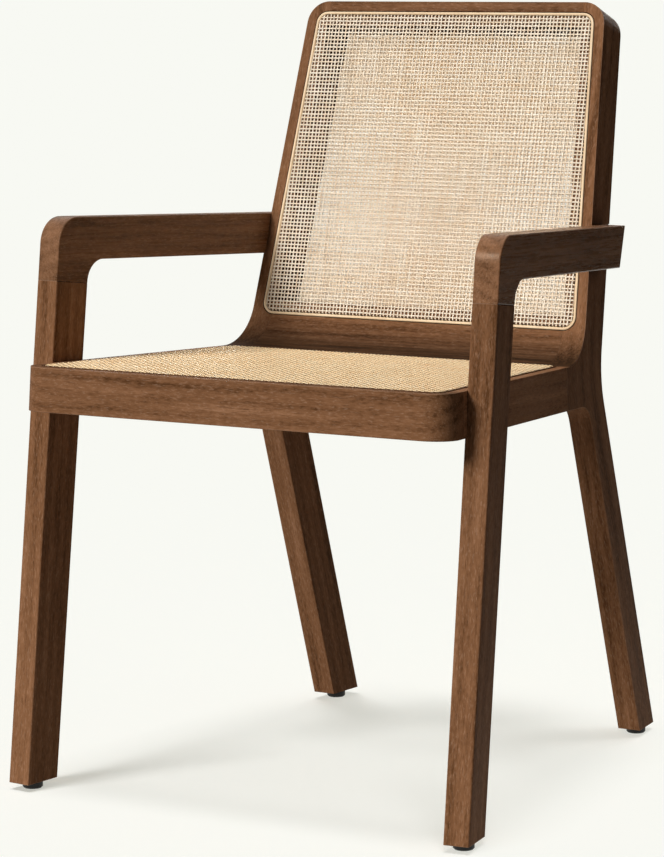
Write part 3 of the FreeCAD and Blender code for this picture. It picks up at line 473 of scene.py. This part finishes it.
def outer_edge(finish):
    """1 near the outer face of a post and 0 further in, where it is joined flush to the rails."""
    place = finish.split(finish.coordinates())
    side = finish.math("ABSOLUTE", place["X"])
    turned = finish.math("MULTIPLY_ADD", place["Y"], math.tan(POST_PLAN), side)
    canted = finish.math("MULTIPLY_ADD", place["Z"], math.tan(POST_CANT) / math.cos(POST_PLAN), turned)
    return finish.remap(canted, *POST_EDGE)


def painted_shade_places(finish):
    """How much painted shade a face of the back gets: in the cove above the seat, and behind the cane."""
    coordinates = finish.add("ShaderNodeTexCoord").outputs
    place = finish.split(coordinates["Object"])
    facing = finish.split(coordinates["Normal"])
    seat_level = SEAT_FRONT[1] * MM + SEAT_FRONT[0] * MM * math.tan(SEAT_SLOPE)
    height = finish.math("MULTIPLY_ADD", place["Y"], math.tan(SEAT_SLOPE), place["Z"])
    above = finish.math("SUBTRACT", height, seat_level)
    low = finish.remap(above, *COVE_RANGE)
    forward = finish.remap(facing["Y"], *FORWARD_RANGE)
    hidden = finish.remap(finish.open_air(HIDDEN_REACH), *HIDDEN_RANGE)
    dark = finish.math("MAXIMUM", finish.math("MULTIPLY", low, forward), hidden)
    return finish.math("MULTIPLY", dark, finish.remap(above, *ABOVE_SEAT))


def figure(finish, space, patches, streaks):
    """The figure of the wood: patches, streaks, flecks and growth rings, added up."""
    bent = finish.add("ShaderNodeVectorMath", {0: space, 1: PITH}, operation="ADD").outputs[0]
    rings = finish.add("ShaderNodeTexWave", {"Vector": finish.scaled(bent, RING_STRETCH), **RINGS},
                       wave_type="RINGS", rings_direction="X", wave_profile="SIN").outputs["Fac"]
    flecks = finish.noise(space, *FLECKS)
    streaked = finish.math("MULTIPLY_ADD", patches, PATCH_PART, finish.math("MULTIPLY", streaks, STREAK_PART))
    flecked = finish.math("MULTIPLY_ADD", flecks, FLECK_PART, finish.math("SUBTRACT", streaked, FIGURE_DROP))
    return finish.math("MULTIPLY_ADD", rings, RING_PART, flecked)


def wood(name, grain, shift, tones, pore_tone, worn_highlight_tone, roughness, specular, edge_lightening, in_back=False):
    """Oiled wood: growth rings, streaks, pores, lighter arrises that are partly rubbing from use and partly a
    painted highlight, and painted shade in narrow gaps and, on the back, in the cove and behind the cane.

    Grain is a direction, or None for a post; the argument before in_back sets how far the arrises are
    lightened.
    """
    finish = Finish(name, roughness, specular)
    finish.set("Specular Tint", WOOD_GLOSS)
    space = bent_grain_space(finish, shift) if grain is None else grain_space(finish, grain, shift)
    patches = finish.noise(space, *PATCHES)
    streaks = finish.noise(space, *STREAKS)
    colour = finish.ramp(figure(finish, space, patches, streaks), tones)
    pores = finish.remap(finish.noise(space, *PORES), *PORE_RANGE)
    shown = finish.math("MULTIPLY", pores, finish.remap(streaks, *PORES_SHOWN))
    colour = finish.mix(shown, colour, pore_tone)
    dashes = finish.noise(space, *DASHES)
    colour = finish.mix(finish.remap(dashes, *DASHES_SHOWN), colour, worn_highlight_tone)
    bevel = finish.add("ShaderNodeBevel", {"Radius": ARRIS}, samples=BEVEL_SAMPLES).outputs["Normal"]
    flat = finish.add("ShaderNodeNewGeometry").outputs["Normal"]
    square = finish.add("ShaderNodeVectorMath", {0: bevel, 1: flat}, operation="DOT_PRODUCT").outputs["Value"]
    # lighter arrises: partly rubbing from use and partly a painted highlight
    arris_mask = finish.remap(square, *ARRIS_TURN_RANGE)
    lightening_here = finish.remap(patches, *NOISE_REACH, LEAST_LIGHTENING * edge_lightening, MOST_LIGHTENING * edge_lightening)
    arris_lightening = finish.math("MULTIPLY", arris_mask, lightening_here)
    if grain is None:
        arris_lightening = finish.math("MULTIPLY", arris_lightening, outer_edge(finish))
    colour = finish.mix(arris_lightening, colour, worn_highlight_tone)
    # painted shade in narrow gaps
    colour = finish.mix(finish.remap(finish.open_air(GAP_REACH), *GAP_RANGE), colour, SHADE_TONE)
    # painted shade on the back, in the cove above the seat and behind the cane
    if in_back:
        painted_shade = finish.math("MULTIPLY", painted_shade_places(finish), finish.remap(streaks, *SHADE_STREAKS_SHOWN))
        colour = finish.mix(painted_shade, colour, SHADE_TONE)
    finish.set("Base Color", colour)
    dull = finish.remap(streaks, *NOISE_REACH, roughness - WOOD_SMOOTHER, roughness + WOOD_ROUGHER)
    finish.set("Roughness", finish.math("ADD", dull, finish.math("MULTIPLY", pores, PORE_ROUGHER)))
    height = finish.math("SUBTRACT", finish.math("MULTIPLY", streaks, STREAK_RELIEF), pores)
    finish.relief(height, WOOD_RELIEF, RELIEF_STRENGTH, bevel)
    return finish.material


# Cane and reed: the tone of a strand along its length, and how far apart strands lie in that noise; streaks
STRAND_TONE = ((1.6, 1.0, 1.0), 3.0, 0.6)
STRAND_STEP = 7.31
FIBRE_STREAKS = ((4.0, 26.0, 1.0), 3.0, 0.6)
FIBRE_STREAKS_SHOWN = (0.52, 0.72, 0.0, 0.55)
# painted shade between strands: how far it reaches, and its range
GAP_SHADE_REACH = 2.5 * MM
GAP_SHADE_RANGE = (0.25, 0.6)
FIBRE_SMOOTHER, FIBRE_ROUGHER = 0.07, 0.1
FIBRE_RELIEF, FIBRE_STRENGTH = 0.05 * MM, 0.5


def fibre(name, tones, streak_and_shade_tone, roughness, specular, translucent=0.0, gap_shade=0.0):
    """Peeled cane or reed: a tone for each strand, streaks along it, and a share of light let through.

    The last argument is how far the streak tone also darkens the gaps between strands, as painted shade.
    """
    finish = Finish(name, roughness, specular)
    space = finish.add("ShaderNodeUVMap", uv_map=FIBRE_UV).outputs["UV"]
    place = finish.split(space)
    strand = finish.math("MULTIPLY", finish.math("FLOOR", place["Y"]), STRAND_STEP)
    spot = finish.add("ShaderNodeCombineXYZ", {"X": place["X"], "Y": strand}).outputs["Vector"]
    colour = finish.ramp(finish.noise(spot, *STRAND_TONE), tones)
    streaks = finish.noise(space, *FIBRE_STREAKS)
    colour = finish.mix(finish.remap(streaks, *FIBRE_STREAKS_SHOWN), colour, streak_and_shade_tone)
    # painted shade in the gaps between strands
    if gap_shade:
        gaps = finish.remap(finish.open_air(GAP_SHADE_REACH), *GAP_SHADE_RANGE, gap_shade, 0.0)
        colour = finish.mix(gaps, colour, streak_and_shade_tone)
    finish.set("Base Color", colour)
    dull = finish.remap(streaks, *NOISE_REACH, roughness - FIBRE_SMOOTHER, roughness + FIBRE_ROUGHER)
    finish.set("Roughness", dull)
    finish.relief(streaks, FIBRE_RELIEF, FIBRE_STRENGTH)
    if translucent:
        behind = finish.add("ShaderNodeBsdfTranslucent", {"Color": colour}).outputs["BSDF"]
        inputs = {"Fac": translucent, 1: finish.shader.outputs["BSDF"], 2: behind}
        both = finish.add("ShaderNodeMixShader", inputs).outputs["Shader"]
        finish.feed(finish.tree.nodes["Material Output"].inputs["Surface"], both)
    return finish.material


# Metal: detail and roughness of its tool lines' noise, its stains, and how both add up
METAL_GLOSS = 0.5
TOOL_LINES = (3.0, 0.6)
STAINS = ((60.0, 60.0, 60.0), 3.0, 0.6)
LINE_PART, STAIN_PART = 0.5, 0.5
METAL_SMOOTHER, METAL_ROUGHER = 0.08, 0.12
METAL_RELIEF, METAL_STRENGTH = 0.03 * MM, 0.4


def metal(name, dark, light, roughness, line_scale):
    """Turned or drawn metal with fine tool lines along one axis."""
    finish = Finish(name, roughness, METAL_GLOSS, 1.0)
    space = finish.coordinates()
    lines = finish.noise(space, line_scale, *TOOL_LINES)
    stains = finish.noise(space, *STAINS)
    share = finish.math("MULTIPLY_ADD", lines, LINE_PART, finish.math("MULTIPLY", stains, STAIN_PART))
    low, high = NOISE_REACH
    finish.set("Base Color", finish.ramp(share, [(low, dark), (high, light)]))
    dull = finish.remap(stains, *NOISE_REACH, roughness - METAL_SMOOTHER, roughness + METAL_ROUGHER)
    finish.set("Roughness", dull)
    finish.relief(lines, METAL_RELIEF, METAL_STRENGTH)
    return finish.material


# Nylon
NYLON_GLOSS = 0.4
PEBBLE = ((2200.0, 2200.0, 2200.0), 2.0, 0.5)
SCUFFS = ((180.0, 180.0, 420.0), 4.0, 0.65)
SCUFF_TONES = (0.35, 0.72)
SCUFF_REACH = (0.35, 0.7)
NYLON_SMOOTHER, NYLON_ROUGHER = 0.05, 0.15
NYLON_RELIEF, NYLON_STRENGTH = 0.08 * MM, 0.4


def moulded(name, dark, light, roughness):
    """Moulded nylon: finely pebbled, with scuffs."""
    finish = Finish(name, roughness, NYLON_GLOSS)
    space = finish.coordinates()
    pebble = finish.noise(space, *PEBBLE)
    scuffs = finish.noise(space, *SCUFFS)
    finish.set("Base Color", finish.ramp(scuffs, list(zip(SCUFF_TONES, (dark, light)))))
    dull = finish.remap(scuffs, *SCUFF_REACH, roughness - NYLON_SMOOTHER, roughness + NYLON_ROUGHER)
    finish.set("Roughness", dull)
    finish.relief(pebble, NYLON_RELIEF, NYLON_STRENGTH)
    return finish.material


def dress(node, material):
    mesh = nodes[node].data
    mesh.materials.clear()
    mesh.materials.append(material)


def arm_grain(side):
    turn = side * FRAME_PLAN
    return (-math.sin(turn), math.cos(turn), -math.tan(ARM_SLOPE))


def rail_grain(side):
    turn = side * POST_PLAN
    return (-math.sin(turn), math.cos(turn), -math.tan(SEAT_SLOPE))


# Tones of the woods, as stops of a ramp, with the tones of their pores and of their lighter arrises, which are
# partly rubbing from use and partly a painted highlight
WALNUT = [(0.32, (0.086, 0.036, 0.014)), (0.46, (0.168, 0.076, 0.034)), (0.58, (0.210, 0.098, 0.046)),
          (0.72, (0.280, 0.140, 0.072))]
WALNUT_PORE = (0.066, 0.027, 0.011)
WALNUT_WORN_HIGHLIGHT = (0.46, 0.29, 0.19)
BEECH = [(0.30, (0.42, 0.26, 0.14)), (0.5, (0.52, 0.34, 0.20)), (0.72, (0.60, 0.41, 0.25))]
BEECH_PORE = (0.34, 0.18, 0.09)
BEECH_WORN_HIGHLIGHT = (0.62, 0.46, 0.31)

LEG_GRAIN = (0.0, math.sin(LEG_RAKE), math.cos(LEG_RAKE))
CROSS_GRAIN = (1.0, 0.0, 0.0)
# roughness and gloss; hands polish the arms
MATT, POLISHED = (0.5, 0.02), (0.27, 0.14)
# each walnut piece, the direction of its grain, how far its arrises are lightened (partly rubbing from use,
# partly a painted highlight), the depth of its tone, and its roughness and gloss; the right arm and right post
# get lighter tones than the left ones, and the side rails lighter than all others, as painted light
WALNUT_PIECES = [
    ("left_front_leg", LEG_GRAIN, 0.5, 1.1, MATT),
    ("right_front_leg", LEG_GRAIN, 0.5, 1.1, MATT),
    ("left_arm", arm_grain(-1), 0.3, 0.96, POLISHED),
    ("right_arm", arm_grain(1), 0.3, 1.12, POLISHED),
    ("left_back_post", None, 0.5, 1.0, MATT),
    ("right_back_post", None, 0.5, 1.16, MATT),
    ("left_side_rail", rail_grain(-1), 0.1, 1.4, MATT),
    ("right_side_rail", rail_grain(1), 0.1, 1.4, MATT),
    ("front_rail", CROSS_GRAIN, 0.5, 1.04, MATT),
    ("rear_rail", CROSS_GRAIN, 0.1, 0.95, MATT),
    ("back_bottom_rail", CROSS_GRAIN, 0.0, 1.1, MATT),
    ("back_top_rail", CROSS_GRAIN, 0.1, 0.98, MATT),
]
# the step from each piece to the next along and across the log, and after how many the steps across repeat
LOG_STEPS = (0.61, 0.013, 0.009)
LOG_REPEATS = (5, 3)
for index, (node, grain, edge_lightening, depth, sheen) in enumerate(WALNUT_PIECES):
    turns = (index, index % LOG_REPEATS[0], index % LOG_REPEATS[1])
    shift = tuple(step * turn for step, turn in zip(LOG_STEPS, turns))
    tones = [(spot, tuple(depth * part for part in tone)) for spot, tone in WALNUT]
    in_back = "back" in node
    look = wood(f"walnut_{node}", grain, shift, tones, WALNUT_PORE, WALNUT_WORN_HIGHLIGHT, *sheen, edge_lightening, in_back)
    dress(node, look)

# beech: tones, then the place in the log, roughness, gloss and arris lightening of blocks and dowels; the
# lightening is partly rubbing from use and partly a painted highlight
BEECH_TONES = (BEECH, BEECH_PORE, BEECH_WORN_HIGHLIGHT)
BLOCK_SHIFT, BLOCK_LOOK = (2.3, 0.02, 0.01), (0.6, 0.1, 0.3)
DOWEL_SHIFT, DOWEL_LOOK = (5.1, 0.03, 0.0), (0.65, 0.1, 0.3)
beech = wood("beech_blocks", CROSS_GRAIN, BLOCK_SHIFT, *BEECH_TONES, *BLOCK_LOOK)
for end in ("front", "rear"):
    for side in ("left", "right"):
        dress(f"{end}_{side}_corner_block", beech)
dowel_wood = wood("beech_dowels", CROSS_GRAIN, DOWEL_SHIFT, *BEECH_TONES, *DOWEL_LOOK)
for joint in ("arm_leg", "arm_post", "back_top", "back_bottom", "rear_rail", "front_rail", "side_rail"):
    dress(f"{joint}_dowels", dowel_wood)

# metals and nylon: a dark and a light tone, the roughness, and for metals the scale of the tool lines
STEEL = ((0.36, 0.36, 0.37), (0.58, 0.58, 0.57), 0.36, (900.0, 900.0, 60.0))
BRASS = ((0.55, 0.38, 0.14), (0.78, 0.58, 0.25), 0.32, (900.0, 60.0, 900.0))
NYLON = ((0.010, 0.010, 0.010), (0.030, 0.029, 0.028), 0.5)
steel = metal("zinc_steel", *STEEL)
for node in ("leg_bolts", "leg_washers", "corner_block_screws", "rear_rail_screws"):
    dress(node, steel)
dress("leg_inserts", metal("brass", *BRASS))
nylon = moulded("black_nylon", *NYLON)
for foot in ("front_left", "front_right", "rear_left", "rear_right"):
    dress(f"{foot}_glide", nylon)

# Tones of cane and reed, as stops of a ramp, and of their streaks
BACK_CANE = [(0.36, (0.85, 0.68, 0.49)), (0.5, (0.93, 0.80, 0.63)), (0.64, (0.96, 0.86, 0.71))]
REAR_CANE = [(0.36, (0.90, 0.78, 0.63)), (0.5, (0.95, 0.86, 0.74)), (0.64, (0.97, 0.90, 0.80))]
SEAT_CANE = [(0.36, (0.88, 0.60, 0.33)), (0.5, (0.97, 0.73, 0.44)), (0.64, (0.98, 0.80, 0.54))]
REED = [(0.30, (0.66, 0.46, 0.26)), (0.5, (0.76, 0.56, 0.34)), (0.70, (0.82, 0.64, 0.42))]
# the seat's spline is near black as painted shade: it stands for the shadow along the seat's groove
SHADOW_REED = [(0.30, (0.055, 0.024, 0.012)), (0.5, (0.085, 0.039, 0.020)), (0.70, (0.12, 0.056, 0.030))]
# the seat's streak tone is also the tone of the painted shade between its strands
BACK_STREAK, REAR_STREAK, SEAT_STREAK_AND_SHADE = (0.70, 0.53, 0.35), (0.78, 0.64, 0.47), (0.17, 0.08, 0.03)
REED_STREAK, SHADOW_REED_STREAK = (0.46, 0.29, 0.17), (0.035, 0.015, 0.008)
front_cane = fibre("front_cane", BACK_CANE, BACK_STREAK, roughness=0.55, specular=0.1, translucent=0.05)
rear_cane = fibre("rear_cane", REAR_CANE, REAR_STREAK, roughness=0.55, specular=0.1, translucent=0.70)
seat_cane = fibre("seat_cane", SEAT_CANE, SEAT_STREAK_AND_SHADE, roughness=0.6, specular=0.02, gap_shade=1.0)
reed = fibre("reed", REED, REED_STREAK, roughness=0.45, specular=0.4)
shadow_reed = fibre("shadow_reed", SHADOW_REED, SHADOW_REED_STREAK, roughness=0.7, specular=0.02)

caned_faces = (("seat", seat_panel(), seat_cane, shadow_reed),
               ("back_front", back_panel(False), front_cane, reed),
               ("back_rear", back_panel(True), rear_cane, reed))
for prefix, panel, cane_finish, spline_finish in caned_faces:
    for axis, direction in ((0, "along"), (1, "across")):
        sheet = strands(panel, f"{prefix}_cane_{direction}", axis)
        sheet.data.materials.append(cane_finish)
        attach(sheet, "root")
        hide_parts(f"{prefix}_cane")
    strip = spline(panel, f"{prefix}_spline_strip")
    strip.data.materials.append(spline_finish)
    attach(strip, "root")
    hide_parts(f"{prefix}_spline")


# Floor, light and camera. The floor is one tone to the eye; the light that it throws back is a pool round the
# chair, from one tone to another over a range of distances from the origin.
FLOOR_REACH = 300.0
FLOOR_TONE = (0.93, 0.93, 0.915)
FLOOR_ROUGHNESS = 0.9
POOL_RANGE = (0.4, 1.3)
NEAR_BOUNCE = (0.45, 0.44, 0.42)
FAR_BOUNCE = (0.17, 0.16, 0.155)
FLOOR_GLOW = (0.92, 1.0, 0.66, 1)
GLOW_STRENGTH = 0.107
SCREEN_PLAN = [(0.5, -0.9), (0.5, 4.5), (-4.2, 4.5)]
SCREEN_TOP = 2.2
SCREEN_TONE = (0.035, 0.022, 0.013, 1)
SCREEN_ROUGHNESS = 0.9
BACKGROUND = (0.93, 0.935, 0.905, 1)
FILL = (1.0, 0.99, 0.97, 1)
FILL_STRENGTH = 0.08


def seen_directly(tree):
    """1 for rays that show the background: from the camera, and in reflections."""
    path = tree.nodes.new("ShaderNodeLightPath")
    total = path.outputs["Is Camera Ray"]
    for name in ("Is Glossy Ray", "Is Transmission Ray"):
        larger = tree.nodes.new("ShaderNodeMath")
        larger.operation = "MAXIMUM"
        tree.links.new(total, larger.inputs[0])
        tree.links.new(path.outputs[name], larger.inputs[1])
        total = larger.outputs[0]
    return total


def make_floor():
    reach = FLOOR_REACH
    mesh = bpy.data.meshes.new("floor")
    mesh.from_pydata([(-reach, -reach, 0), (reach, -reach, 0), (reach, reach, 0), (-reach, reach, 0)], [],
                     [(0, 1, 2, 3)])
    floor = bpy.data.objects.new("floor", mesh)
    scene.collection.objects.link(floor)
    finish = Finish("floor", FLOOR_ROUGHNESS, 0.0)
    seen = seen_directly(finish.tree)
    away = finish.add("ShaderNodeVectorMath", {0: finish.coordinates()}, operation="LENGTH").outputs["Value"]
    bounce = finish.mix(finish.remap(away, *POOL_RANGE), NEAR_BOUNCE, FAR_BOUNCE)
    finish.set("Base Color", finish.mix(seen, bounce, FLOOR_TONE))
    finish.set("Emission Color", FLOOR_GLOW)
    finish.set("Emission Strength", finish.math("MULTIPLY", seen, GLOW_STRENGTH))
    mesh.materials.append(finish.material)
    return floor


def make_flag():
    """A dark folded screen right of and behind the chair, seen only in its gloss."""
    mesh = bpy.data.meshes.new("flag")
    mesh.from_pydata([(x, y, z) for z in (0.0, SCREEN_TOP) for x, y in SCREEN_PLAN], [],
                     [(0, 1, 4, 3), (1, 2, 5, 4)])
    flag = bpy.data.objects.new("flag", mesh)
    flag.visible_camera = False
    flag.visible_diffuse = False
    flag.visible_shadow = False
    scene.collection.objects.link(flag)
    cloth = Finish("flag", SCREEN_ROUGHNESS, 0.0)
    cloth.set("Base Color", SCREEN_TONE)
    mesh.materials.append(cloth.material)


def make_world():
    """A white backdrop to the eye, and a faint fill for all other light."""
    world = bpy.data.worlds.new("studio")
    world.use_nodes = True
    tree = world.node_tree
    fill = tree.nodes["Background"]
    fill.inputs["Color"].default_value = FILL
    fill.inputs["Strength"].default_value = FILL_STRENGTH
    backdrop = tree.nodes.new("ShaderNodeBackground")
    backdrop.inputs["Color"].default_value = BACKGROUND
    backdrop.inputs["Strength"].default_value = 1.0
    mixed = tree.nodes.new("ShaderNodeMixShader")
    tree.links.new(seen_directly(tree), mixed.inputs["Fac"])
    tree.links.new(fill.outputs["Background"], mixed.inputs[1])
    tree.links.new(backdrop.outputs["Background"], mixed.inputs[2])
    tree.links.new(mixed.outputs["Shader"], tree.nodes["World Output"].inputs["Surface"])
    scene.world = world


def sun(name, azimuth, elevation, strength, spread, floor_state, blockers=()):
    """A far lamp that leaves the floor out or lights it alone.

    Azimuth 0 is in front of the chair, 90 to the right. Only the blockers, if any are named, shade its light.
    """
    lamp = bpy.data.lights.new(name, "SUN")
    lamp.energy = strength
    lamp.angle = math.radians(spread)
    item = bpy.data.objects.new(name, lamp)
    turn, rise = math.radians(azimuth), math.radians(elevation)
    towards = Vector((math.sin(turn) * math.cos(rise), -math.cos(turn) * math.cos(rise), math.sin(rise)))
    item.rotation_euler = towards.to_track_quat("Z", "Y").to_euler()
    scene.collection.objects.link(item)
    receivers = bpy.data.collections.new(f"{name}_receivers")
    receivers.objects.link(floor)
    receivers.collection_objects[0].light_linking.link_state = floor_state
    item.light_linking.receiver_collection = receivers
    if blockers:
        shades = bpy.data.collections.new(f"{name}_blockers")
        for node in blockers:
            shades.objects.link(nodes[node])
        item.light_linking.blocker_collection = shades


# lamps: name, azimuth, elevation, strength, spread, and whether the floor is left out or lit alone
LAMPS = [
    ("key", -20, 32, 3.3, 20, "EXCLUDE"),
    ("overhead", 0, 88, 0.72, 40, "EXCLUDE"),
    ("backdrop_glow", 200, 4, 3.5, 30, "EXCLUDE"),
    ("floor_light", 0, 86, 0.46, 11, "INCLUDE"),
]
# one lamp for each leg, shaded by that leg and its glide alone: leg, glide, azimuth, elevation, strength
LEG_LAMPS = [
    ("left_front_leg", "front_left_glide", -26, 68, 0.90),
    ("right_front_leg", "front_right_glide", 41, 68, 0.35),
    ("left_back_post", "rear_left_glide", -61, 76, 0.60),
    ("right_back_post", "rear_right_glide", 64, 76, 0.40),
]
LEG_LAMP_SPREAD = 13

floor = make_floor()
make_flag()
make_world()
for lamp in LAMPS:
    sun(*lamp)
for leg, glide, azimuth, elevation, strength in LEG_LAMPS:
    sun(f"floor_{leg}", azimuth, elevation, strength, LEG_LAMP_SPREAD, "INCLUDE", (leg, glide))

YAW = math.radians(29.295)
PITCH_DOWN = math.radians(7.741)
CAMERA_PLACE = (1.71975, -3.14805, 0.86342)
SENSOR_WIDTH = 36.0
FOCAL_LENGTH = 138.06
VIEW_END = 1000.0
looking = Vector((-math.sin(YAW) * math.cos(PITCH_DOWN), math.cos(YAW) * math.cos(PITCH_DOWN),
                  -math.sin(PITCH_DOWN)))
lens = bpy.data.cameras.new("camera")
lens.sensor_width = SENSOR_WIDTH
lens.lens = FOCAL_LENGTH
lens.clip_end = VIEW_END
camera = bpy.data.objects.new("camera", lens)
camera.location = CAMERA_PLACE
camera.rotation_euler = looking.to_track_quat("-Z", "Y").to_euler()
scene.collection.objects.link(camera)
scene.camera = camera
